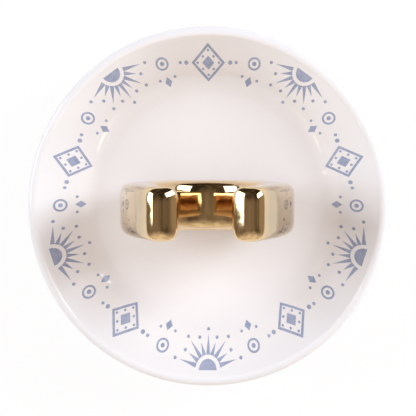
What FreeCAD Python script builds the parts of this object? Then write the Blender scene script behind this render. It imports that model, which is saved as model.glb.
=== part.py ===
# Ring dish: a shallow glazed bowl with an upright horseshoe ring stand bonded into its floor.
# Millimetres, +Z up, origin at the centre of the foot ring on the table. The horseshoe faces along Y.
import FreeCAD, Part
import math
import os
import Sketcher

# Driving sizes: name, value, what it measures
SIZES = (
    ("rim_diameter", 100.0, "dish, across the outside of the lip"),
    ("dish_height", 23.0, "dish, table to the top of the lip"),
    ("wall_thickness", 2.8, "dish, side wall, and twice the radius of the round lip"),
    ("wall_curve", 80.0, "dish, radius of the wall's gentle curve, inside"),
    ("floor_radius", 31.5, "dish, flat part of the floor, inside"),
    ("floor_curve", 9.0, "dish, radius between floor and wall, inside"),
    ("floor_thickness", 4.2, "dish, floor at the centre"),
    ("foot_diameter", 60.0, "foot ring, outside"),
    ("foot_width", 3.2, "foot ring, across its resting face and both rounded edges"),
    ("foot_height", 1.8, "foot ring, table to the recess inside it"),
    ("foot_round", 0.6, "foot ring, radius of its edges"),
    ("shoe_width", 48.0, "horseshoe, across the widest part"),
    ("shoe_thickness", 14.5, "horseshoe, front to back"),
    ("shoe_opening", 26.0, "horseshoe, across the round of the opening"),
    ("seat_length", 12.0, "horseshoe, flat seat under the toe"),
    ("toe_thickness", 11.25, "horseshoe, seat to the opening"),
    ("toe_curve", 30.4, "horseshoe, radius of the outside at the toe"),
    ("quarter_curve", 16.0, "horseshoe, radius of the outside between toe and branch"),
    ("branch_curve", 44.0, "horseshoe, radius of a branch's outside"),
    ("heel_gap", 12.2, "horseshoe, between the heels at the top, before their edges are rounded"),
    ("heel_width", 8.05, "horseshoe, one heel at the top, before its edges are rounded"),
    ("shoe_round", 3.0, "horseshoe, radius of its edges"),
    ("tenon_length", 8.0, "tenon under the seat, along X"),
    ("tenon_width", 6.0, "tenon under the seat, along Y"),
    ("tenon_depth", 2.0, "tenon below the seat"),
    ("bond_film", 0.2, "adhesive all round the tenon and under the seat"),
)

# Heights and lengths that several pieces share
FLOOR_TOP = "(Sizes.foot_height + Sizes.floor_thickness)"
SEAT = "(Sizes.foot_height + Sizes.floor_thickness + Sizes.bond_film)"
TOE_CENTRE = f"({SEAT} + sqrt(Sizes.toe_curve ^ 2 - (Sizes.seat_length / 2) ^ 2))"
OPENING_CENTRE = f"({SEAT} + Sizes.toe_thickness + Sizes.shoe_opening / 2)"
SOCKET_LENGTH = "(Sizes.tenon_length + 2 * Sizes.bond_film)"
SOCKET_WIDTH = "(Sizes.tenon_width + 2 * Sizes.bond_film)"
WIDEST = (f"({TOE_CENTRE} - sqrt((Sizes.toe_curve - Sizes.quarter_curve) ^ 2"
          " - (Sizes.shoe_width / 2 - Sizes.quarter_curve) ^ 2))")

# The horseshoe's edges are rounded by no more than this share of a branch where it is thinnest
ROUND_SHARE = 0.4
BRANCH_WALL = ("(Sizes.branch_curve - Sizes.shoe_opening / 2 - sqrt("
               f"(Sizes.shoe_width / 2 - Sizes.branch_curve) ^ 2 + ({WIDEST} - {OPENING_CENTRE}) ^ 2))")
SHOE_ROUND = f"min(Sizes.shoe_round; {ROUND_SHARE} * {BRANCH_WALL})"

# A sketch numbers the points of an element from 1, and its own axes from -1 down
START, END, CENTRE = range(1, 4)
H_AXIS, V_AXIS = range(-1, -3, -1)
ORIGIN = (H_AXIS, START)
FULL_TURN = 360
TINY = 1e-6


def make_sheet(doc):
    """Fill the spreadsheet with the driving sizes and return them as a dictionary too."""
    sheet = doc.addObject("Spreadsheet::Sheet", "Sizes")
    for row, (alias, value, meaning) in enumerate(SIZES, start=1):
        sheet.set(f"A{row}", meaning)
        sheet.set(f"B{row}", str(value))
        sheet.setAlias(f"B{row}", alias)
    doc.recompute()
    return {alias: float(sheet.get(alias)) for alias, value, meaning in SIZES}


def make_body(doc, label):
    body = doc.addObject("PartDesign::Body", label)
    body.Label = label
    return body


def origin_plane(body, role):
    return next(feature for feature in body.Origin.OriginFeatures if feature.Role == role)


def make_sketch(body, name, role, height=None):
    """A sketch on one of the body's own planes, lifted along the plane's normal by an expression."""
    sketch = body.newObject("Sketcher::SketchObject", name)
    sketch.AttachmentSupport = [(origin_plane(body, role), "")]
    sketch.MapMode = "FlatFace"
    if height:
        sketch.setExpression("AttachmentOffset.Base.z", height)
    return sketch


def add_line(sketch, start, end):
    return sketch.addGeometry(Part.LineSegment(FreeCAD.Vector(*start), FreeCAD.Vector(*end)), False)


def add_arc(sketch, centre, radius, start_angle, end_angle):
    """An arc that runs anticlockwise from start_angle to end_angle, in radians."""
    circle = Part.Circle(FreeCAD.Vector(*centre), FreeCAD.Vector(0, 0, 1), radius)
    return sketch.addGeometry(Part.ArcOfCircle(circle, start_angle, end_angle), False)


def relate(sketch, kind, *places):
    sketch.addConstraint(Sketcher.Constraint(kind, *places))


def bind(sketch, name, expression, kind, *places):
    """Add a dimension with its first value and tie it to the spreadsheet."""
    index = sketch.addConstraint(Sketcher.Constraint(kind, *places))
    sketch.renameConstraint(index, name)
    sketch.setExpression(f"Constraints.{name}", expression)


def draw_rectangle(sketch, length, width, length_expression, width_expression):
    """A rectangle centred on the sketch's origin."""
    x, y = length / 2, width / 2
    corners = ((-x, -y), (x, -y), (x, y), (-x, y))
    lines = [add_line(sketch, corners[i], corners[(i + 1) % len(corners)]) for i in range(len(corners))]
    bottom, right, top, left = lines
    for here, after in zip(lines, lines[1:] + lines[:1]):
        relate(sketch, "Coincident", here, END, after, START)
    for flat in (bottom, top):
        relate(sketch, "Horizontal", flat)
    for upright in (right, left):
        relate(sketch, "Vertical", upright)
    relate(sketch, "Symmetric", bottom, START, right, END, *ORIGIN)
    bind(sketch, "length", length_expression, "DistanceX", bottom, START, bottom, END, length)
    bind(sketch, "width", width_expression, "DistanceY", right, START, right, END, width)


def find_edges(shape, wanted):
    return [f"Edge{number}" for number, edge in enumerate(shape.Edges, start=1) if wanted(edge)]


def make_dish(doc, size):
    """Turn the bowl with its foot ring, round the foot and sink the socket for the tenon."""
    body = make_body(doc, "dish")
    section = make_sketch(body, "DishSection", "XZ_Plane")
    wall = size["wall_thickness"]
    floor_top = size["foot_height"] + size["floor_thickness"]
    under = floor_top - wall
    foot_out = size["foot_diameter"] / 2
    foot_in = foot_out - size["foot_width"]
    lip = (size["rim_diameter"] / 2 - wall / 2, size["dish_height"] - wall / 2)
    curve = (size["floor_radius"], floor_top + size["floor_curve"])

    # The wall's arc is tangent to the floor's curve below and to the lip above, which sets where it starts
    to_lip = (lip[0] - curve[0], lip[1] - curve[1])
    reach = math.hypot(*to_lip)
    between = size["wall_curve"] - size["floor_curve"]
    along = (reach ** 2 + between ** 2 - (size["wall_curve"] + wall / 2) ** 2) / (2 * between)
    inward = math.atan2(to_lip[1], to_lip[0]) + math.acos(along / reach)
    wall_centre = (curve[0] + between * math.cos(inward), curve[1] + between * math.sin(inward))
    wall_foot = inward - math.pi
    wall_head = math.atan2(lip[1] - wall_centre[1], lip[0] - wall_centre[0])
    floor_side = -math.pi / 2

    floor = add_line(section, (0, floor_top), (size["floor_radius"], floor_top))
    curve_in = add_arc(section, curve, size["floor_curve"], floor_side, wall_foot)
    wall_in = add_arc(section, wall_centre, size["wall_curve"], wall_foot, wall_head)
    lip_round = add_arc(section, lip, wall / 2, wall_head, wall_head + math.pi)
    wall_out = add_arc(section, wall_centre, size["wall_curve"] + wall, wall_foot, wall_head)
    curve_out = add_arc(section, curve, size["floor_curve"] + wall, floor_side, wall_foot)
    under_out = add_line(section, (size["floor_radius"], under), (foot_out, under))
    foot_outside = add_line(section, (foot_out, under), (foot_out, 0))
    foot_face = add_line(section, (foot_out, 0), (foot_in, 0))
    foot_inside = add_line(section, (foot_in, 0), (foot_in, size["foot_height"]))
    recess = add_line(section, (foot_in, size["foot_height"]), (0, size["foot_height"]))
    middle = add_line(section, (0, size["foot_height"]), (0, floor_top))

    relate(section, "Tangent", floor, END, curve_in, START)
    relate(section, "Tangent", curve_in, END, wall_in, START)
    relate(section, "Tangent", wall_in, END, lip_round, END)
    relate(section, "Tangent", lip_round, START, wall_out, END)
    relate(section, "Tangent", wall_out, START, curve_out, END)
    relate(section, "Tangent", curve_out, START, under_out, START)
    relate(section, "Coincident", curve_in, CENTRE, curve_out, CENTRE)
    relate(section, "Coincident", wall_in, CENTRE, wall_out, CENTRE)
    chain = (under_out, foot_outside, foot_face, foot_inside, recess, middle, floor)
    for here, after in zip(chain, chain[1:]):
        relate(section, "Coincident", here, END, after, START)
    for level in (floor, under_out, foot_face, recess):
        relate(section, "Horizontal", level)
    for upright in (foot_outside, foot_inside):
        relate(section, "Vertical", upright)
    relate(section, "PointOnObject", floor, START, V_AXIS)
    relate(section, "PointOnObject", middle, START, V_AXIS)
    relate(section, "PointOnObject", foot_face, START, H_AXIS)
    bind(section, "floor_top", FLOOR_TOP, "DistanceY", *ORIGIN, floor, START, floor_top)
    bind(section, "floor_radius", "Sizes.floor_radius",
         "DistanceX", floor, START, floor, END, size["floor_radius"])
    bind(section, "floor_curve", "Sizes.floor_curve", "Radius", curve_in, size["floor_curve"])
    bind(section, "wall_curve", "Sizes.wall_curve", "Radius", wall_in, size["wall_curve"])
    bind(section, "lip_round", "Sizes.wall_thickness / 2", "Radius", lip_round, wall / 2)
    bind(section, "lip_reach", "(Sizes.rim_diameter - Sizes.wall_thickness) / 2",
         "DistanceX", *ORIGIN, lip_round, CENTRE, lip[0])
    bind(section, "lip_height", "Sizes.dish_height - Sizes.wall_thickness / 2",
         "DistanceY", *ORIGIN, lip_round, CENTRE, lip[1])
    bind(section, "foot_radius", "Sizes.foot_diameter / 2", "DistanceX", *ORIGIN, foot_face, START, foot_out)
    bind(section, "foot_width", "Sizes.foot_width",
         "DistanceX", foot_face, END, foot_face, START, size["foot_width"])
    bind(section, "foot_height", "Sizes.foot_height", "DistanceY", *ORIGIN, recess, END, size["foot_height"])

    bowl = body.newObject("PartDesign::Revolution", "Bowl")
    bowl.Profile = section
    bowl.ReferenceAxis = (section, ["V_Axis"])
    bowl.Angle = FULL_TURN
    doc.recompute()

    foot = body.newObject("PartDesign::Fillet", "FootRound")
    foot.Base = (bowl, find_edges(bowl.Shape, lambda edge: edge.BoundBox.ZMax < TINY))
    foot.setExpression("Radius", "Sizes.foot_round")
    doc.recompute()

    outline = make_sketch(body, "SocketOutline", "XY_Plane", FLOOR_TOP)
    draw_rectangle(outline, size["tenon_length"] + 2 * size["bond_film"],
                   size["tenon_width"] + 2 * size["bond_film"], SOCKET_LENGTH, SOCKET_WIDTH)
    socket = body.newObject("PartDesign::Pocket", "Socket")
    socket.Profile = outline
    socket.setExpression("Length", "Sizes.tenon_depth")
    doc.recompute()
    if socket.Shape.Volume > foot.Shape.Volume - TINY:
        raise RuntimeError("the socket cuts nothing out of the floor")
    return body


def make_horseshoe(doc, size):
    """Draw the right half of the horseshoe, mirror it, round its edges, cut the seat and add the tenon."""
    body = make_body(doc, "horseshoe")
    half = make_sketch(body, "HalfOutline", "XZ_Plane")
    outer = size["shoe_width"] / 2
    inner = size["shoe_opening"] / 2
    seat = size["foot_height"] + size["floor_thickness"] + size["bond_film"]
    toe_curve = size["toe_curve"]
    quarter_curve = size["quarter_curve"]
    branch_curve = size["branch_curve"]
    toe_centre = seat + math.sqrt(toe_curve ** 2 - (size["seat_length"] / 2) ** 2)
    opening_centre = seat + size["toe_thickness"] + inner
    heel_in = size["heel_gap"] / 2
    heel_out = heel_in + size["heel_width"]

    # Outside, toe, quarter and branch are tangent, and the widest part is where the last two meet
    quarter_x = outer - quarter_curve
    widest = toe_centre - math.sqrt((toe_curve - quarter_curve) ** 2 - quarter_x ** 2)
    toe_end = math.atan2(widest - toe_centre, quarter_x)
    branch_x = outer - branch_curve
    branch_end = math.acos((heel_out - branch_x) / branch_curve)
    top = widest + branch_curve * math.sin(branch_end)
    rise = top - opening_centre
    opening_end = math.atan2(rise, heel_in) - math.acos(inner / math.hypot(heel_in, rise))
    inside_foot = (inner * math.cos(opening_end), opening_centre + inner * math.sin(opening_end))
    straight_down = -math.pi / 2

    toe_out = add_arc(half, (0, toe_centre), toe_curve, straight_down, toe_end)
    quarter = add_arc(half, (quarter_x, widest), quarter_curve, toe_end, 0)
    branch_out = add_arc(half, (branch_x, widest), branch_curve, 0, branch_end)
    heel_top = add_line(half, (heel_out, top), (heel_in, top))
    branch_in = add_line(half, (heel_in, top), inside_foot)
    opening = add_arc(half, (0, opening_centre), inner, straight_down, opening_end)
    toe = add_line(half, (0, opening_centre - inner), (0, toe_centre - toe_curve))

    relate(half, "Tangent", toe_out, END, quarter, START)
    relate(half, "Tangent", quarter, END, branch_out, START)
    relate(half, "Coincident", branch_out, END, heel_top, START)
    relate(half, "Coincident", heel_top, END, branch_in, START)
    relate(half, "Tangent", branch_in, END, opening, END)
    relate(half, "Coincident", opening, START, toe, START)
    relate(half, "Coincident", toe, END, toe_out, START)
    relate(half, "Horizontal", heel_top)
    relate(half, "Horizontal", quarter, CENTRE, branch_out, CENTRE)
    relate(half, "PointOnObject", toe, START, V_AXIS)
    relate(half, "PointOnObject", toe, END, V_AXIS)
    relate(half, "PointOnObject", toe_out, CENTRE, V_AXIS)
    relate(half, "PointOnObject", opening, CENTRE, V_AXIS)
    bind(half, "toe_centre", TOE_CENTRE, "DistanceY", *ORIGIN, toe_out, CENTRE, toe_centre)
    bind(half, "opening_centre", OPENING_CENTRE, "DistanceY", *ORIGIN, opening, CENTRE, opening_centre)
    bind(half, "toe_curve", "Sizes.toe_curve", "Radius", toe_out, toe_curve)
    bind(half, "quarter_curve", "Sizes.quarter_curve", "Radius", quarter, quarter_curve)
    bind(half, "branch_curve", "Sizes.branch_curve", "Radius", branch_out, branch_curve)
    bind(half, "inner", "Sizes.shoe_opening / 2", "Radius", opening, inner)
    bind(half, "quarter_x", "Sizes.shoe_width / 2 - Sizes.quarter_curve",
         "DistanceX", *ORIGIN, quarter, CENTRE, quarter_x)
    bind(half, "heel_in", "Sizes.heel_gap / 2", "DistanceX", *ORIGIN, heel_top, END, heel_in)
    bind(half, "heel_width", "Sizes.heel_width",
         "DistanceX", heel_top, END, heel_top, START, size["heel_width"])

    branch_pad = body.newObject("PartDesign::Pad", "RightBranch")
    branch_pad.Profile = half
    branch_pad.SideType = "Symmetric"
    branch_pad.setExpression("Length", "Sizes.shoe_thickness")
    doc.recompute()
    both = body.newObject("PartDesign::Mirrored", "BothBranches")
    both.Originals = [branch_pad]
    both.MirrorPlane = (origin_plane(body, "YZ_Plane"), [""])
    both.Refine = True
    body.Tip = both
    doc.recompute()

    def on_a_face_or_heel(edge):
        box = edge.BoundBox
        return box.YLength < TINY or box.ZMin > top - TINY

    rounded = body.newObject("PartDesign::Fillet", "ShoeRound")
    rounded.Base = (both, find_edges(both.Shape, on_a_face_or_heel))
    rounded.setExpression("Radius", SHOE_ROUND)
    doc.recompute()

    below = make_sketch(body, "BelowSeat", "XY_Plane", SEAT)
    draw_rectangle(below, size["shoe_width"], size["shoe_thickness"],
                   "Sizes.shoe_width", "Sizes.shoe_thickness")
    flat = body.newObject("PartDesign::Pocket", "Seat")
    flat.Profile = below
    flat.setExpression("Length", "Sizes.shoe_width / 2")
    doc.recompute()
    if flat.Shape.Volume > rounded.Shape.Volume - TINY:
        raise RuntimeError("the seat isn't cut flat")

    outline = make_sketch(body, "TenonOutline", "XY_Plane", SEAT)
    draw_rectangle(outline, size["tenon_length"], size["tenon_width"],
                   "Sizes.tenon_length", "Sizes.tenon_width")
    tenon = body.newObject("PartDesign::Pad", "Tenon")
    tenon.Profile = outline
    tenon.Reversed = True
    tenon.setExpression("Length", "Sizes.tenon_depth")
    doc.recompute()
    if tenon.Shape.Volume < flat.Shape.Volume + TINY:
        raise RuntimeError("the tenon doesn't reach below the seat")
    return body


def make_bond(doc, size):
    """Fill the socket and the film under the seat, then take the tenon's own room out of it."""
    body = make_body(doc, "bond")
    film_outline = make_sketch(body, "FilmOutline", "XY_Plane", FLOOR_TOP)
    seat_width = size["shoe_thickness"] - 2 * size["shoe_round"]
    draw_rectangle(film_outline, size["seat_length"], seat_width,
                   "Sizes.seat_length", f"Sizes.shoe_thickness - 2 * {SHOE_ROUND}")
    film = body.newObject("PartDesign::Pad", "Film")
    film.Profile = film_outline
    film.setExpression("Length", "Sizes.bond_film")

    fill_outline = make_sketch(body, "FillOutline", "XY_Plane", FLOOR_TOP)
    draw_rectangle(fill_outline, size["tenon_length"] + 2 * size["bond_film"],
                   size["tenon_width"] + 2 * size["bond_film"], SOCKET_LENGTH, SOCKET_WIDTH)
    fill = body.newObject("PartDesign::Pad", "Fill")
    fill.Profile = fill_outline
    fill.Reversed = True
    fill.setExpression("Length", "Sizes.tenon_depth")
    doc.recompute()

    room_outline = make_sketch(body, "TenonRoomOutline", "XY_Plane", SEAT)
    draw_rectangle(room_outline, size["tenon_length"], size["tenon_width"],
                   "Sizes.tenon_length", "Sizes.tenon_width")
    room = body.newObject("PartDesign::Pocket", "TenonRoom")
    room.Profile = room_outline
    room.setExpression("Length", "Sizes.tenon_depth")
    doc.recompute()
    if room.Shape.Volume > fill.Shape.Volume - TINY:
        raise RuntimeError("the adhesive leaves no room for the tenon")
    return body


def check(doc, bodies):
    """Stop before anything is written if a feature failed or a piece isn't one valid solid."""
    for thing in doc.Objects:
        if "Invalid" in thing.State or "Error" in thing.State:
            raise RuntimeError(f"{thing.Label} failed: {thing.State}")
        if thing.isDerivedFrom("Sketcher::SketchObject") and not thing.FullyConstrained:
            raise RuntimeError(f"{thing.Label} isn't fully constrained")
    for body in bodies:
        shape = body.Shape
        if shape.isNull() or not shape.isValid() or len(shape.Solids) != 1:
            raise RuntimeError(f"{body.Label} isn't one valid solid")


def main():
    doc = FreeCAD.newDocument("RingDish")
    size = make_sheet(doc)
    bodies = [make_dish(doc, size), make_horseshoe(doc, size), make_bond(doc, size)]
    doc.recompute()
    check(doc, bodies)
    os.makedirs("parts", exist_ok=True)
    for body in bodies:
        body.Shape.exportStep(f"parts/{body.Label}.step")
        print(body.Label, round(body.Shape.Volume, 1), "mm3", body.Shape.optimalBoundingBox())


main()
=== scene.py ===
import math

import bmesh
import bpy
from bpy.props import FloatProperty, FloatVectorProperty, IntProperty, PointerProperty
from mathutils import Matrix, Vector


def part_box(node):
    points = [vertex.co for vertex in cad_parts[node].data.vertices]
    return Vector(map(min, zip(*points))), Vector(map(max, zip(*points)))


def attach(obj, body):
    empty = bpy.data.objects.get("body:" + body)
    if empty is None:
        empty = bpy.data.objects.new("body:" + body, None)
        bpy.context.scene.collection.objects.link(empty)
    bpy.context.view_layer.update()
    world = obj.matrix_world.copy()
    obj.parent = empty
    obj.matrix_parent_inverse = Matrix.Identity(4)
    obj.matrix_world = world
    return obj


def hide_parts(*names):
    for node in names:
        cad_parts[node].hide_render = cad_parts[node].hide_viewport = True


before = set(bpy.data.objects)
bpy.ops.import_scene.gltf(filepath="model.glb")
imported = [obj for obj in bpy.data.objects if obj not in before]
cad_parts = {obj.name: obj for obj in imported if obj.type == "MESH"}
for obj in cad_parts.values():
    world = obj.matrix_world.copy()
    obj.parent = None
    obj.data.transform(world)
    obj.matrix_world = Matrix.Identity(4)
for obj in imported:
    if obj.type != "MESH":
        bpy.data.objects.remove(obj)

bl_info = {
    "name": "Ring dish",
    "version": (1, 0, 0),
    "blender": (4, 5, 0),
    "location": "3D View > Sidebar > Ring dish",
    "description": "Models the glazed bowl, the gold horseshoe and the print of a ring dish",
    "category": "Object",
}

MM = 0.001
RIGHT_ANGLE = math.pi / 2
FULL_TURN = 2 * math.pi

# An edge that bends less is shaded smooth, and points that are closer are one point
SMOOTH_ANGLE = math.radians(50)
TOUCH = 0.01 * MM

# What the frame says about the pieces
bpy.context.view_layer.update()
DISH_LOW, DISH_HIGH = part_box("dish")
SHOE_LOW, SHOE_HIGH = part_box("horseshoe")
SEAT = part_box("bond")[1].z

# Steps round the bowl and along the arcs of its section
TURN_STEPS = 176
INNER_CURVE_STEPS = 16
INNER_WALL_STEPS = 12
LIP_STEPS = 20
OUTER_WALL_STEPS = 10
OUTER_CURVE_STEPS = 12
CORNER_STEPS = 5

# Heights between which the floor's glaze turns into the wall's, which is painted lighter and cooler as
# painted light
WALL_PAINTED_LIGHT_HEIGHTS = (10 * MM, 20 * MM)

# Cage of a heel's top, from the corner where the heel's inside would meet its top
HEEL = {
    "inner_foot": Vector((0.3, -4.1)) * MM,
    "inner_edge": Vector((-0.6, -2.46)) * MM,
    "inner_crown": Vector((3.4, -0.15)) * MM,
    "outer_crown": Vector((5.81, 0.3)) * MM,
    "outer_edge": Vector((8.69, -1.66)) * MM,
}

# Cage of a branch: where its outside and the round of the opening end, and places up its straight inside
BRANCH_END = math.radians(30.5)
OPENING_END = math.radians(-5)
INSIDE_SHARES = (0, 0.2, 0.4)

# Where painted shade darkens the gold on the branches' outsides, as a painted reflection of the shaded
# wall, from the horseshoe's middle outwards
PAINTED_SIDE_SHADE_FROM = (14.5 * MM, 17 * MM)
PAINTED_LOWER_SIDE_SHADE_FROM = (18.5 * MM, 20.5 * MM)

# Where the painted darker reflection on the branches' insides ends: across, front to back, below and above
PAINTED_INSIDE_ACROSS = (14 * MM, 13.3 * MM)
PAINTED_INSIDE_DEPTH = (7 * MM, 6 * MM)
PAINTED_INSIDE_FOOT = (21 * MM, 27 * MM)
PAINTED_INSIDE_HEAD = (48 * MM, 45 * MM)

# The print is laid out flat, above the lip
LAYOUT_HEIGHT = 30 * MM

# Nine rays of a half sun, long and short by turns, each a triangle with a dot beyond it
RAYS = range(-4, 5)
RAY_TURN = math.pi / 10
RAY_WIDTH = 1.3 * MM
SHORT_RAY = 0.65
RAY_DOT = 0.9 * MM
RAY_DOT_GAP = 1.3 * MM
TRIANGLE_HEIGHT = 0.75

# A lozenge's middle and the dots round it, as shares of the lozenge, and the dots outside it
LOZENGE_MIDDLE = 0.36
LOZENGE_DOTS = 0.32
LOZENGE_DOT = 0.7 * MM
OUTER_DOTS = ((1.5 * MM, 1.2 * MM), (3.2 * MM, 0.9 * MM))

# A ring and its dot, and the diamond with two dots below them
RING = 3.6 * MM
RING_DOT = 1.2 * MM
RING_ABOVE_LOZENGE = 1.6 * MM
DIAMOND = (2 * MM, 3 * MM)
DIAMOND_DROP = 5.2 * MM
DIAMOND_DOT = 0.8 * MM
DIAMOND_DOT_PLACE = (2.2 * MM, 4.2 * MM)

# The lamps' places and sides, in metres
LEFT_SOFTBOX = ((-0.68, 0.18, 0.40), (0.46, 0.47))
RIGHT_SOFTBOX = ((0.63, 0.28, 0.40), (0.30, 0.50))
OVERHEAD_FILL = ((0.14, 0.14, 0.7), (2.4, 2.4))

# The room's darkest and lightest colours, all round and in front
ROOM = ((0.03, 0.022, 0.015), (0.36, 0.275, 0.19))
ROOM_FRONT = ((0.68, 0.56, 0.42), (1, 0.88, 0.72))


def length(name, description, default):
    return FloatProperty(name=name, description=description, default=default,
                         min=0, unit="LENGTH", subtype="DISTANCE")


def colour(name, description, default):
    return FloatVectorProperty(name=name, description=description, default=default,
                               min=0, max=1, subtype="COLOR")


class BowlSizes(bpy.types.PropertyGroup):
    """Sizes and colours of the glazed bowl"""
    rim: length("Rim", "Across the outside of the lip", DISH_HIGH.x - DISH_LOW.x)
    height: length("Height", "Table to the top of the lip", DISH_HIGH.z)
    wall: length("Wall", "Thickness of the wall, and twice the radius of the lip", 2.8 * MM)
    wall_curve: length("Wall curve", "Radius of the wall's gentle curve, inside", 80 * MM)
    floor_top: length("Floor top", "Table to the floor of the bowl", 6 * MM)
    floor_radius: length("Floor radius", "Flat part of the floor", 31.5 * MM)
    floor_curve: length("Floor curve", "Radius between floor and wall, inside", 9 * MM)
    foot: length("Foot", "Across the outside of the foot ring", 60 * MM)
    foot_width: length("Foot width", "Width of the foot ring", 3.2 * MM)
    foot_height: length("Foot height", "Depth of the recess inside the foot ring", 1.8 * MM)
    foot_round: length("Foot round", "Radius of the foot ring's edges", 0.6 * MM)
    pool: length("Glaze pool", "Radius that the glaze leaves in the foot ring's corners", 0.8 * MM)
    glaze: colour("Glaze", "Glaze on the floor", (0.905, 0.88, 0.91))
    # The wall's glaze is painted lighter and cooler than the floor's, as painted light
    wall_glaze_painted_light: colour("Wall glaze", "Glaze on the wall", (0.912, 0.904, 0.952))
    # The lip's glaze is painted darker, as painted shade against the lamps' light on it
    lip_glaze_painted_shade: colour("Thin glaze", "Glaze on the lip", (0.785, 0.78, 0.835))
    clay: colour("Bare clay", "The foot ring's unglazed face", (0.74, 0.68, 0.60))


class HorseshoeSizes(bpy.types.PropertyGroup):
    """Sizes and colours of the horseshoe"""
    width: length("Width", "Across the widest part", SHOE_HIGH.x - SHOE_LOW.x)
    thickness: length("Thickness", "Front to back", SHOE_HIGH.y - SHOE_LOW.y)
    top: length("Top", "Table to the top of the heels", SHOE_HIGH.z)
    seat: length("Seat", "Table to the flat seat under the toe", SEAT)
    seat_length: length("Seat length", "Length of the flat seat", 12 * MM)
    toe_thickness: length("Toe thickness", "Seat to the opening", 11.25 * MM)
    opening: length("Opening", "Across the round of the opening", 26 * MM)
    toe_curve: length("Toe curve", "Radius of the outside at the toe", 30.4 * MM)
    quarter_curve: length("Quarter curve", "Radius of the outside between toe and branch", 16 * MM)
    branch_curve: length("Branch curve", "Radius of a branch's outside", 44 * MM)
    heel_gap: length("Heel gap", "Between the heels near the top", 14.4 * MM)
    bulge: length("Bulge", "How far the inside swells between its front and back edges", 0.3 * MM)
    edge_cut: length("Edge cut", "How far the front and back edges are cut before rounding", 1.7 * MM)
    toe_edge_cut: length("Toe edge cut", "The same at the toe, inside and at the back", 0.6 * MM)
    gold: colour("Gold", "Gold on the heels, the toe and the faces", (0.85, 0.645, 0.39))
    # Painted shade: a painted reflection of the shaded wall beside the heels
    side_gold_painted_shade: colour("Side gold", "Gold on the branches' outsides, beside the heels", (0.61, 0.495, 0.355))
    # Painted shade: a painted reflection of the shaded wall lower down the branches
    lower_side_gold_painted_shade: colour("Thin gold", "Gold on the branches' outsides, lower down", (0.71, 0.59, 0.425))
    # Painted shade: a painted darker reflection inside the opening
    inside_gold_painted_shade: colour("Deep gold", "Gold on the insides of the branches", (0.73, 0.50, 0.285))


class PrintSizes(bpy.types.PropertyGroup):
    """Sizes and colours of the print inside the wall"""
    repeats: IntProperty(name="Repeats", description="Times the pattern goes round", default=5, min=1)
    rise: length("Rise", "How far the fired ink stands above the glaze", 0.03 * MM)
    sun: length("Sun", "Radius of a half sun on the lip", 2.5 * MM)
    sun_place: length("Sun place", "From the bowl's middle to the middle of a sun", 46 * MM)
    ray: length("Ray", "Length of a sun's long rays", 5 * MM)
    lozenge_width: length("Lozenge width", "Across a lozenge, round the bowl", 9.4 * MM)
    lozenge_height: length("Lozenge height", "Along a lozenge, up the wall", 10.4 * MM)
    lozenge_place: length("Lozenge place", "From the bowl's middle to the middle of a lozenge", 40.4 * MM)
    line: length("Line", "Width of the drawn lines", 0.65 * MM)
    ink: colour("Ink", "Ink where it lies thick", (0.29, 0.34, 0.49))
    thin_ink: colour("Thin ink", "Ink where it lies thin", (0.43, 0.475, 0.665))


class StageSettings(bpy.types.PropertyGroup):
    """Camera, lamps and floor"""
    camera: FloatVectorProperty(name="Camera", description="Where the camera stands", subtype="TRANSLATION",
                                default=(8 * MM, 24 * MM, 400 * MM))
    target: FloatVectorProperty(name="Target", description="Where the camera looks", subtype="TRANSLATION",
                                default=(0.14 * MM, -0.14 * MM, 22.5 * MM))
    lens: FloatProperty(name="Lens", description="Focal length in millimetres", default=118.1, min=1)
    left_lamp: FloatProperty(name="Left lamp", description="Power of the left softbox", default=3.38,
                             min=0, unit="POWER")
    right_lamp: FloatProperty(name="Right lamp", description="Power of the right softbox", default=3.8,
                              min=0, unit="POWER")
    fill_lamp: FloatProperty(name="Fill lamp", description="Power of the soft light overhead", default=12.5,
                             min=0, unit="POWER")
    softbox_tint: colour("Softbox tint", "Colour of the softboxes", (0.86, 0.945, 1))
    fill_tint: colour("Fill tint", "Colour of the soft light overhead", (1, 0.938, 0.896))
    floor: colour("Floor", "Colour of the floor", (0.9, 0.9, 0.9))


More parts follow.
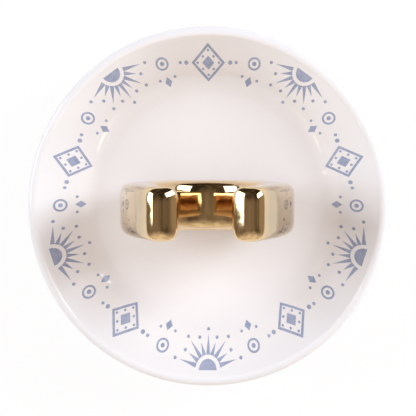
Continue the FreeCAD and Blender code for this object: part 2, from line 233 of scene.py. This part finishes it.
class Value:
    """A shader value. Arithmetic on it adds Math nodes, and node() adds any other node."""

    def __init__(self, tree, socket):
        self.tree = tree
        self.socket = socket

    def node(self, kind, settings=(), inputs=(), output=0):
        made = self.tree.nodes.new(kind)
        for name, setting in dict(settings).items():
            setattr(made, name, setting)
        for name, given in dict(inputs).items():
            if isinstance(given, Value):
                self.tree.links.new(given.socket, made.inputs[name])
            else:
                made.inputs[name].default_value = given
        return Value(self.tree, made.outputs[output])

    def math(self, operation, first, second):
        return self.node("ShaderNodeMath", {"operation": operation}, {0: first, 1: second})

    def __add__(self, other):
        return self.math("ADD", self, other)

    def __radd__(self, other):
        return self.math("ADD", other, self)

    def __sub__(self, other):
        return self.math("SUBTRACT", self, other)

    def __rsub__(self, other):
        return self.math("SUBTRACT", other, self)

    def __mul__(self, other):
        return self.math("MULTIPLY", self, other)

    def __rmul__(self, other):
        return self.math("MULTIPLY", other, self)

    def axes(self):
        """The three parts of these coordinates."""
        return [self.node("ShaderNodeSeparateXYZ", inputs={"Vector": self}, output=axis) for axis in "XYZ"]

    def noise(self, scale, detail):
        """Soft noise on these coordinates, in patches of about 1 / scale."""
        return self.node("ShaderNodeTexNoise", inputs={"Vector": self, "Scale": scale, "Detail": detail})

    def between(self, low, high):
        """This value stretched from low..high to 0..1, falling where low is the larger."""
        return self.node("ShaderNodeMapRange", {"clamp": True},
                         {"Value": self, "From Min": low, "From Max": high})

    def blend(self, first, second):
        """The colour that this value picks between two colours."""
        ends = [end if isinstance(end, Value) else (*end, 1) for end in (first, second)]
        return self.node("ShaderNodeMix", {"data_type": "RGBA"},
                         {"Factor": self, 6: ends[0], 7: ends[1]}, 2)

    def bump(self, depth):
        return self.node("ShaderNodeBump", inputs={"Height": self, "Distance": depth})

    def feed(self, shader, name):
        self.tree.links.new(self.socket, shader.inputs[name])


def start_material(name):
    """A material with its main shader and the coordinates of the object."""
    material = bpy.data.materials.new(name)
    material.use_nodes = True
    tree = material.node_tree
    place = Value(tree, tree.nodes.new("ShaderNodeTexCoord").outputs["Object"])
    return material, tree.nodes["Principled BSDF"], place


def make_glaze(bowl):
    """Glaze with painted light and shade: the wall is painted lighter and cooler than the floor, and the
    lip darker.
    """
    material, shader, place = start_material("white_glaze")
    across, depth, height = place.axes()
    # Above these heights the wall is painted lighter and cooler, as painted light
    glaze_with_painted_wall_light = height.between(*WALL_PAINTED_LIGHT_HEIGHTS).blend(bowl.glaze, bowl.wall_glaze_painted_light)
    reach = place.math("SQRT", across * across + depth * depth, 0)
    # The lip is painted darker as painted shade, with some random patches
    lip = reach.between(bowl.rim / 2 - bowl.wall, (bowl.rim - bowl.wall) / 2)
    painted_shade_share = 0.15 * place.noise(45, 2).between(0.3, 0.7) + 0.85 * lip
    painted_shade_share.blend(glaze_with_painted_wall_light, bowl.lip_glaze_painted_shade).feed(shader, "Base Color")
    peel = place.noise(420, 1)
    (0.03 + 0.04 * peel).feed(shader, "Roughness")
    (place.noise(140, 1) + 0.25 * peel).bump(0.006 * MM).feed(shader, "Normal")
    shader.inputs["IOR"].default_value = 1.5
    return material


def make_clay(bowl):
    material, shader, place = start_material("bare_clay")
    grain = place.noise(3200, 3)
    shade = place.noise(160, 2).between(0.25, 0.75)
    shade.blend(bowl.clay, [0.9 * part for part in bowl.clay]).feed(shader, "Base Color")
    (0.75 + 0.2 * grain).feed(shader, "Roughness")
    grain.bump(0.05 * MM).feed(shader, "Normal")
    return material


def make_gold(shoe):
    """Gold with painted shade: darker and greyer on the outsides of the branches, a painted reflection of
    the shaded wall, and deeper on their insides, a painted darker reflection.
    """
    material, shader, place = start_material("mirror_gold")
    brushed = place.noise(130, 2)
    across, depth, height = place.axes()
    across = place.math("ABSOLUTE", across, 0)
    depth = place.math("ABSOLUTE", depth, 0)
    # Share of painted shade on the branches' outsides, with random patches
    painted_shade_share = 0.25 * brushed.between(0.3, 0.7) + 0.85 * across.between(*PAINTED_SIDE_SHADE_FROM)
    # Where the branches' insides get a painted darker reflection
    inside = across.between(*PAINTED_INSIDE_ACROSS) * depth.between(*PAINTED_INSIDE_DEPTH)
    inside = inside * height.between(*PAINTED_INSIDE_FOOT) * height.between(*PAINTED_INSIDE_HEAD)
    # The painted shade beside the heels turns into the lower one further out
    sides = across.between(*PAINTED_LOWER_SIDE_SHADE_FROM).blend(shoe.side_gold_painted_shade, shoe.lower_side_gold_painted_shade)
    outside = painted_shade_share.between(0, 1).blend(shoe.gold, sides)
    inside.blend(outside, shoe.inside_gold_painted_shade).feed(shader, "Base Color")
    (0.04 + 0.07 * place.noise(300, 2)).feed(shader, "Roughness")
    (brushed + 0.5 * place.noise(300, 1)).bump(0.06 * MM).feed(shader, "Normal")
    shader.inputs["Metallic"].default_value = 1
    return material


def make_ink(band):
    material, shader, place = start_material("slate_blue_ink")
    patches = place.noise(350, 3) * 0.6 + place.noise(2600, 1) * 0.4
    patches.between(0.35, 0.68).blend(band.ink, band.thin_ink).feed(shader, "Base Color")
    (0.1 + 0.08 * patches).feed(shader, "Roughness")
    patches.bump(0.003 * MM).feed(shader, "Normal")
    return material


def make_adhesive():
    material, shader, place = start_material("cured_adhesive")
    cloud = place.noise(500, 2)
    cloud.blend((0.80, 0.76, 0.66), (0.88, 0.85, 0.78)).feed(shader, "Base Color")
    (0.2 + 0.15 * cloud).feed(shader, "Roughness")
    cloud.bump(0.02 * MM).feed(shader, "Normal")
    return material


def set_mode(mode):
    bpy.ops.object.mode_set(mode=mode)


def add_modifier(kind, **settings):
    """Add a modifier to the piece in hand and apply it."""
    bpy.ops.object.modifier_add(type=kind)
    modifier = bpy.context.object.modifiers[-1]
    for name, setting in settings.items():
        setattr(modifier, name, setting)
    bpy.ops.object.modifier_apply(modifier=modifier.name)


def name_piece(name):
    piece = bpy.context.object
    piece.name = name
    piece.data.name = name
    return piece


def select_parts(kind, wanted):
    """In edit mode, select only the vertices, edges or faces that pass a test."""
    bpy.ops.mesh.select_all(action="DESELECT")
    bpy.ops.mesh.select_mode(type=kind)
    mesh = bpy.context.edit_object.data
    shape = bmesh.from_edit_mesh(mesh)
    parts = {"VERT": shape.verts, "EDGE": shape.edges, "FACE": shape.faces}[kind]
    for part in parts:
        part.select_set(wanted(part))
    shape.select_flush_mode()
    bmesh.update_edit_mesh(mesh)


def ride_and_slot(piece):
    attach(piece, "root")


def start_wire(x, z):
    """One vertex to draw a section with, in edit mode."""
    bpy.ops.object.select_all(action="DESELECT")
    bpy.ops.mesh.primitive_plane_add(size=MM)
    set_mode("EDIT")
    bpy.ops.mesh.merge(type="CENTER")
    bpy.ops.transform.translate(value=(x, 0, z))


def draw_line(right, up):
    bpy.ops.mesh.extrude_region_move(TRANSFORM_OT_translate={"value": (right, 0, up)})


def draw_arc(centre, turn, steps):
    """An arc from the last vertex on, anticlockwise as seen from the front."""
    bpy.ops.mesh.spin(steps=steps, angle=turn, center=(centre[0], 0, centre[1]), axis=(0, 1, 0))


class RINGDISH_OT_bowl(bpy.types.Operator):
    """Draw the bowl's section and turn it"""
    bl_idname = "ringdish.bowl"
    bl_label = "Bowl"

    def execute(self, context):
        size = context.scene.ring_dish_bowl
        lip_round = size.wall / 2
        lip = Vector((size.rim / 2 - lip_round, size.height - lip_round))
        curve = Vector((size.floor_radius, size.floor_top + size.floor_curve))

        # The wall's arc is tangent to the floor's curve below and to the lip above
        to_lip = lip - curve
        between = size.wall_curve - size.floor_curve
        along = (to_lip.length_squared + between ** 2 - (size.wall_curve + lip_round) ** 2) / (2 * between)
        inward = math.atan2(to_lip.y, to_lip.x) + math.acos(along / to_lip.length)
        wall_centre = curve + between * Vector((math.cos(inward), math.sin(inward)))
        wall_foot = inward - math.pi
        wall_head = math.atan2(lip.y - wall_centre.y, lip.x - wall_centre.x)
        bend = wall_foot + RIGHT_ANGLE
        sweep = wall_head - wall_foot

        start_wire(0, size.floor_top)
        draw_line(size.floor_radius - size.pool, 0)
        draw_line(size.pool, 0)
        draw_arc(curve, bend, INNER_CURVE_STEPS)
        draw_arc(wall_centre, sweep, INNER_WALL_STEPS)
        draw_arc(lip, -math.pi, LIP_STEPS)
        draw_arc(wall_centre, -sweep, OUTER_WALL_STEPS)
        draw_arc(curve, -bend, OUTER_CURVE_STEPS)

        # The foot ring, with rounded edges and glaze pooled in its corners
        under = size.floor_top - size.wall
        foot = size.foot / 2
        draw_line(foot + size.pool - size.floor_radius, 0)
        draw_arc((foot + size.pool, under - size.pool), RIGHT_ANGLE, CORNER_STEPS)
        draw_line(0, size.foot_round - under + size.pool)
        draw_arc((foot - size.foot_round, size.foot_round), -RIGHT_ANGLE, CORNER_STEPS)
        draw_line(2 * size.foot_round - size.foot_width, 0)
        draw_arc((foot - size.foot_width + size.foot_round, size.foot_round), -RIGHT_ANGLE, CORNER_STEPS)
        draw_line(0, size.foot_height - size.pool - size.foot_round)
        inner_corner = (foot - size.foot_width - size.pool, size.foot_height - size.pool)
        draw_arc(inner_corner, RIGHT_ANGLE, CORNER_STEPS)
        draw_line(size.foot_width + size.pool - foot, 0)

        bpy.ops.mesh.select_all(action="SELECT")
        bpy.ops.mesh.spin(steps=TURN_STEPS, angle=FULL_TURN, center=(0, 0, 0), axis=(0, 0, 1))
        bpy.ops.mesh.select_all(action="SELECT")
        bpy.ops.mesh.remove_doubles(threshold=TOUCH)
        bpy.ops.mesh.normals_make_consistent(inside=False)

        # The foot ring's resting face is bare clay
        piece = name_piece("bowl")
        for material in (make_glaze(size), make_clay(size)):
            piece.data.materials.append(material)
        select_parts("FACE", lambda face: all(vertex.co.z < size.foot_round / 3 for vertex in face.verts))
        piece.active_material_index = 1
        bpy.ops.object.material_slot_assign()
        set_mode("OBJECT")
        bpy.ops.object.shade_smooth_by_angle(angle=SMOOTH_ANGLE)
        ride_and_slot(piece)
        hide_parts("dish")
        return {"FINISHED"}


class RINGDISH_OT_horseshoe(bpy.types.Operator):
    """Sweep one half of the horseshoe from its toe, crown the heel and mirror it"""
    bl_idname = "ringdish.horseshoe"
    bl_label = "Horseshoe"

    def execute(self, context):
        size = context.scene.ring_dish_horseshoe
        outer = size.width / 2
        inner = size.opening / 2
        toe = Vector((0, size.seat + math.sqrt(size.toe_curve ** 2 - (size.seat_length / 2) ** 2)))
        opening = Vector((0, size.seat + size.toe_thickness + inner))
        heel = Vector((size.heel_gap / 2, size.top))

        # Outside, toe, quarter and branch are tangent, and the branch's inside is tangent to the opening
        quarter = Vector((outer - size.quarter_curve, 0))
        quarter.y = toe.y - math.sqrt((size.toe_curve - size.quarter_curve) ** 2 - quarter.x ** 2)
        branch = Vector((outer - size.branch_curve, quarter.y))
        toe_end = math.atan2(quarter.y - toe.y, quarter.x)
        rise = heel - opening
        leave = math.atan2(rise.y, rise.x) - math.acos(inner / rise.length)
        inside_foot = opening + inner * Vector((math.cos(leave), math.sin(leave)))
        set_back = Vector((size.bulge, 0))

        outside = self.arc(toe, size.toe_curve, -RIGHT_ANGLE, toe_end, 3)
        outside += self.arc(quarter, size.quarter_curve, toe_end, 0, 4)[1:]
        outside += self.arc(branch, size.branch_curve, 0, BRANCH_END, 4)[1:]
        outside += [heel + HEEL[name] for name in ("outer_edge", "outer_crown")]
        inside = self.arc(opening, inner + size.bulge, -RIGHT_ANGLE, OPENING_END, 7)
        inside += [inside_foot.lerp(heel, share) + set_back for share in INSIDE_SHARES]
        inside += [heel + HEEL[name] for name in ("inner_foot", "inner_edge", "inner_crown")]
        sections = list(zip(inside, outside))

        # The toe's cross-section, swelling inside, is carried round to the top of the heel
        bpy.ops.object.select_all(action="DESELECT")
        low, high = outside[0].y, inside[0].y
        middle = (low + high) / 2
        bpy.ops.mesh.primitive_grid_add(x_subdivisions=1, y_subdivisions=3, size=1,
                                        location=(0, 0, middle), rotation=(0, RIGHT_ANGLE, 0))
        bpy.context.object.scale = (high - low, size.thickness, 1)
        bpy.ops.object.transform_apply(location=True, rotation=True, scale=True)
        set_mode("EDIT")
        side = 0.4 * size.thickness
        select_parts("VERT", lambda vertex: abs(vertex.co.y) < side and vertex.co.z > middle)
        bpy.ops.transform.translate(value=(0, 0, size.bulge))
        bpy.ops.mesh.select_all(action="SELECT")
        for before, after in zip(sections, sections[1:]):
            self.carry(before, after)
        select_parts("FACE", lambda face: face.calc_center_median().x < TOUCH)
        bpy.ops.mesh.delete(type="FACE")
        set_mode("OBJECT")
        add_modifier("MIRROR", merge_threshold=TOUCH)

        # The edges round the front and back faces are cut, so that subdividing rounds them
        set_mode("EDIT")
        bpy.ops.mesh.select_all(action="SELECT")
        bpy.ops.mesh.normals_make_consistent(inside=False)
        select_parts("EDGE", lambda edge: sum(abs(face.normal.y) > 0.9 for face in edge.link_faces) == 1)
        bpy.ops.mesh.bevel(offset=size.edge_cut, offset_type="OFFSET", segments=1, affect="EDGES")

        # At the toe the edge behind the opening is sharper
        cut = size.thickness / 2 - size.edge_cut
        toe_top = opening.y - 4 * MM
        near_opening = inner + 2 * MM
        select_parts("VERT", lambda vertex: (abs(vertex.co.y - cut) < 0.1 * MM and vertex.co.z < toe_top
                                             and math.dist(vertex.co.xz, opening) < near_opening))
        bpy.ops.transform.translate(value=(0, size.edge_cut - size.toe_edge_cut, 0))
        set_mode("OBJECT")
        add_modifier("SUBSURF", levels=3, render_levels=3)

        # The flat seat
        set_mode("EDIT")
        bpy.ops.mesh.select_all(action="SELECT")
        bpy.ops.mesh.bisect(plane_co=(0, 0, size.seat), plane_no=(0, 0, 1), use_fill=True, clear_inner=True)
        bpy.ops.mesh.select_all(action="SELECT")
        bpy.ops.mesh.normals_make_consistent(inside=False)
        set_mode("OBJECT")
        bpy.ops.object.shade_smooth_by_angle(angle=SMOOTH_ANGLE)
        piece = name_piece("horseshoe_gold")
        piece.data.materials.append(make_gold(size))
        ride_and_slot(piece)
        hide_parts("horseshoe")
        return {"FINISHED"}

    @staticmethod
    def arc(centre, radius, first, last, steps):
        """Cage points round an arc, set out by as much as a subdivided surface shrinks from its cage."""
        step = (last - first) / steps
        reach = 3 * radius / (2 + math.cos(step))
        angles = [first + count * step for count in range(steps + 1)]
        return [centre + reach * Vector((math.cos(angle), math.sin(angle))) for angle in angles]

    @staticmethod
    def carry(before, after):
        """Extrude the cross-section from one pair of inner and outer points to the next."""
        middle = (after[0] + after[1]) / 2
        move = middle - (before[0] + before[1]) / 2
        across = [pair[1] - pair[0] for pair in (before, after)]
        angles = [math.atan2(step.y, step.x) for step in across]
        pivot = (middle.x, 0, middle.y)
        bpy.ops.mesh.extrude_region_move(TRANSFORM_OT_translate={"value": (move.x, 0, move.y)})
        bpy.ops.transform.rotate(value=-angles[0], orient_axis="Y", center_override=pivot)
        bpy.ops.transform.resize(value=(across[1].length / across[0].length, 1, 1), center_override=pivot)
        bpy.ops.transform.rotate(value=angles[1], orient_axis="Y", center_override=pivot)


class RINGDISH_OT_wall_print(bpy.types.Operator):
    """Lay out one repeat of the print flat, copy it round and press it onto the wall"""
    bl_idname = "ringdish.wall_print"
    bl_label = "Wall print"

    def execute(self, context):
        band = context.scene.ring_dish_print
        pitch = FULL_TURN / band.repeats
        self.start_with_sun(band)
        self.add_rays(band)
        self.add_lozenge(band, pitch / 2)
        for side in (-1, 1):
            self.add_ring(band, side * pitch / 4)
        bpy.ops.mesh.select_all(action="SELECT")
        bpy.ops.mesh.spin(steps=band.repeats - 1, dupli=True, angle=(band.repeats - 1) * pitch,
                          center=(0, 0, 0), axis=(0, 0, 1))
        set_mode("OBJECT")
        add_modifier("SHRINKWRAP", target=bpy.data.objects["bowl"], wrap_method="PROJECT",
                     use_project_z=True, use_negative_direction=True, use_positive_direction=False,
                     offset=band.rise)
        add_modifier("SOLIDIFY", thickness=2 * band.rise, offset=-1)
        bpy.ops.object.shade_smooth_by_angle(angle=SMOOTH_ANGLE)
        piece = name_piece("wall_print")
        piece.data.materials.append(make_ink(band))
        ride_and_slot(piece)
        return {"FINISHED"}

    @staticmethod
    def place(right, out):
        """A point of the flat layout, by how far it is to the right and from the bowl's middle."""
        return Vector((right, -out, LAYOUT_HEIGHT))

    @staticmethod
    def turn(angle, centre=(0, 0, 0)):
        bpy.ops.transform.rotate(value=angle, orient_axis="Z", center_override=centre)

    def stamp(self, corners, right, out, width, height, cuts=0):
        """Add a flat shape, with one corner towards the bowl's middle."""
        middle = self.place(right, out)
        bpy.ops.mesh.primitive_circle_add(vertices=corners, radius=0.5, fill_type="TRIFAN", location=middle)
        bpy.ops.transform.resize(value=(width, height, 1), center_override=middle)
        if cuts:
            bpy.ops.mesh.subdivide(number_cuts=cuts)

    def dot(self, right, out, size, angle=0):
        self.stamp(12, right, out, size, size)
        self.turn(angle)

    def frame_shape(self, corners, out, width, height, line, angle):
        """Add the outline of a shape, as wide as a line."""
        middle = self.place(0, out)
        bpy.ops.mesh.primitive_circle_add(vertices=corners, radius=0.5, fill_type="NGON", location=middle)
        bpy.ops.transform.resize(value=(width, height, 1), center_override=middle)
        if corners == 4:
            bpy.ops.mesh.subdivide(number_cuts=3)
        self.turn(angle)
        bpy.ops.mesh.inset(thickness=line)
        bpy.ops.mesh.delete(type="FACE")

    def start_with_sun(self, band):
        """The half sun on the lip is the first shape of the piece."""
        middle = self.place(0, band.sun_place)
        bpy.ops.object.select_all(action="DESELECT")
        bpy.ops.mesh.primitive_circle_add(vertices=28, radius=band.sun, fill_type="TRIFAN", location=middle)
        bpy.ops.object.transform_apply(location=True, rotation=True, scale=True)
        set_mode("EDIT")
        bpy.ops.mesh.select_all(action="SELECT")
        bpy.ops.mesh.bisect(plane_co=middle, plane_no=(0, -1, 0), clear_outer=True)
        bpy.ops.mesh.select_all(action="SELECT")
        bpy.ops.mesh.subdivide()

    def add_rays(self, band):
        """Long and short rays by turns, with an arc of dots beyond them."""
        sun = self.place(0, band.sun_place)
        foot = band.sun_place - 1.4 * band.sun
        for count in RAYS:
            reach = band.ray * (SHORT_RAY if count % 2 else 1)
            self.stamp(3, 0, foot - reach / 3, RAY_WIDTH, reach / TRIANGLE_HEIGHT, 2)
            self.turn(count * RAY_TURN, sun)
            self.dot(0, foot - (reach + RAY_DOT_GAP), RAY_DOT)
            self.turn(count * RAY_TURN, sun)

    def add_lozenge(self, band, angle):
        """A lozenge in a frame, with dots between the two and outside."""
        width, height, out = band.lozenge_width, band.lozenge_height, band.lozenge_place
        self.frame_shape(4, out, width, height, band.line, angle)
        self.stamp(4, 0, out, LOZENGE_MIDDLE * width, LOZENGE_MIDDLE * height, 1)
        self.turn(angle)
        for right, up in ((1, 0), (0, 1), (0.5, 0.5), (0.5, -0.5)):
            for side in (-1, 1):
                share = side * LOZENGE_DOTS
                self.dot(share * right * width, out + share * up * height, LOZENGE_DOT, angle)
        for side in (-1, 1):
            for away, size in OUTER_DOTS:
                self.dot(side * (width / 2 + away), out, size, angle)

    def add_ring(self, band, angle):
        """A small ring round a dot, with a diamond below it."""
        out = band.lozenge_place + RING_ABOVE_LOZENGE
        self.frame_shape(20, out, RING, RING, 0.8 * band.line, angle)
        self.dot(0, out, RING_DOT, angle)
        self.stamp(4, 0, out - DIAMOND_DROP, *DIAMOND, 1)
        self.turn(angle)
        right, drop = DIAMOND_DOT_PLACE
        for side in (-1, 1):
            self.dot(side * right, out - drop, DIAMOND_DOT, angle)


class RINGDISH_OT_bond(bpy.types.Operator):
    """Finish the adhesive under the horseshoe"""
    bl_idname = "ringdish.bond"
    bl_label = "Bond"

    def execute(self, context):
        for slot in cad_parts["bond"].material_slots:
            slot.material = make_adhesive()
        return {"FINISHED"}


class RINGDISH_OT_stage(bpy.types.Operator):
    """Add the floor, the studio light and the camera"""
    bl_idname = "ringdish.stage"
    bl_label = "Stage"

    def execute(self, context):
        stage = context.scene.ring_dish_stage
        context.scene.view_settings.view_transform = "Standard"
        self.add_floor(stage)
        self.add_world(context.scene)
        self.add_lamp("left_softbox", *LEFT_SOFTBOX, stage.left_lamp, stage.softbox_tint)
        self.add_lamp("right_softbox", *RIGHT_SOFTBOX, stage.right_lamp, stage.softbox_tint)
        self.add_lamp("overhead_fill", *OVERHEAD_FILL, stage.fill_lamp, stage.fill_tint)
        bpy.context.object.visible_glossy = False
        self.add_camera(context.scene, stage)
        return {"FINISHED"}

    @staticmethod
    def add_floor(stage):
        bpy.ops.object.select_all(action="DESELECT")
        bpy.ops.mesh.primitive_plane_add(size=6, location=(0, 0, -0.05 * MM))
        floor = name_piece("floor")
        material, shader, place = start_material("white_floor")
        shader.inputs["Base Color"].default_value = (*stage.floor, 1)
        shader.inputs["Roughness"].default_value = 0.9
        tree = material.node_tree
        ray = tree.nodes.new("ShaderNodeLightPath")
        camera, glossy, clear = [Value(tree, ray.outputs[f"Is {kind} Ray"])
                                 for kind in ("Camera", "Glossy", "Transmission")]
        glow = place.node("ShaderNodeEmission", inputs={"Color": (1, 1, 1, 1), "Strength": 1})
        mixed = place.node("ShaderNodeMixShader", inputs={
            0: 0.9 * (camera + glossy + clear),
            1: Value(tree, shader.outputs["BSDF"]),
            2: glow,
        })
        tree.links.new(mixed.socket, tree.nodes["Material Output"].inputs["Surface"])
        floor.data.materials.append(material)

    @staticmethod
    def add_world(scene):
        """A dim room above a white horizon, darker behind, lighter far right and in front."""
        world = bpy.data.worlds.new("studio")
        scene.world = world
        world.use_nodes = True
        tree = world.node_tree
        way = Value(tree, tree.nodes.new("ShaderNodeTexCoord").outputs["Generated"])
        side, depth, height = way.axes()
        patches = way.noise(3.5, 2).between(0.35, 0.65)
        wall = 0.9 * side.between(0.72, 0.98) - 0.2 * side.between(0.1, 0.65)
        shade = 0.38 + 0.3 * patches + wall - 0.44 * depth.between(-0.05, 0.22)
        room = shade.between(0, 1).blend(*ROOM)
        front = patches.blend(*ROOM_FRONT)
        level = depth.between(-0.75, -0.25).blend(front, room)
        sky = height.between(0, 0.1).blend((1, 1, 1), level)
        tree.links.new(sky.socket, tree.nodes["Background"].inputs["Color"])

    @staticmethod
    def add_lamp(name, place, sides, power, tint):
        aim = (Vector((0, 0, 20 * MM)) - Vector(place)).to_track_quat("-Z", "Y").to_euler()
        bpy.ops.object.light_add(type="AREA", location=place, rotation=aim)
        lamp = bpy.context.object
        lamp.name = name
        lamp.data.shape = "RECTANGLE"
        lamp.data.size, lamp.data.size_y = sides
        lamp.data.energy = power
        lamp.data.color = tint

    @staticmethod
    def add_camera(scene, stage):
        place = Vector(stage.camera)
        back = (place - Vector(stage.target)).normalized()
        right = Vector((0, 1, 0)).cross(back).normalized()
        turn = Matrix((right, back.cross(right), back)).transposed()
        bpy.ops.object.camera_add(location=place, rotation=turn.to_euler())
        camera = bpy.context.object
        camera.data.lens = stage.lens
        camera.data.clip_start = 5 * MM
        scene.camera = camera


class RINGDISH_PT_panel(bpy.types.Panel):
    """The ring dish's operators and sizes"""
    bl_idname = "RINGDISH_PT_panel"
    bl_label = "Ring dish"
    bl_space_type = "VIEW_3D"
    bl_region_type = "UI"
    bl_category = "Ring dish"

    def draw(self, context):
        for operator in OPERATORS:
            self.layout.operator(operator.bl_idname)
        for name, group in GROUPS.items():
            box = self.layout.box()
            box.label(text=group.bl_rna.description)
            settings = getattr(context.scene, name)
            for prop in group.__annotations__:
                box.prop(settings, prop)


GROUPS = {
    "ring_dish_bowl": BowlSizes,
    "ring_dish_horseshoe": HorseshoeSizes,
    "ring_dish_print": PrintSizes,
    "ring_dish_stage": StageSettings,
}
OPERATORS = (RINGDISH_OT_bowl, RINGDISH_OT_horseshoe, RINGDISH_OT_wall_print, RINGDISH_OT_bond,
             RINGDISH_OT_stage)
CLASSES = (*GROUPS.values(), *OPERATORS, RINGDISH_PT_panel)


def register():
    for cls in CLASSES:
        bpy.utils.register_class(cls)
    for name, group in GROUPS.items():
        setattr(bpy.types.Scene, name, PointerProperty(type=group))


def unregister():
    for name in GROUPS:
        delattr(bpy.types.Scene, name)
    for cls in reversed(CLASSES):
        bpy.utils.unregister_class(cls)


def main():
    register()
    bpy.ops.ringdish.bowl()
    bpy.ops.ringdish.horseshoe()
    bpy.ops.ringdish.wall_print()
    bpy.ops.ringdish.bond()
    bpy.ops.ringdish.stage()


if __name__ == "__main__":
    main()
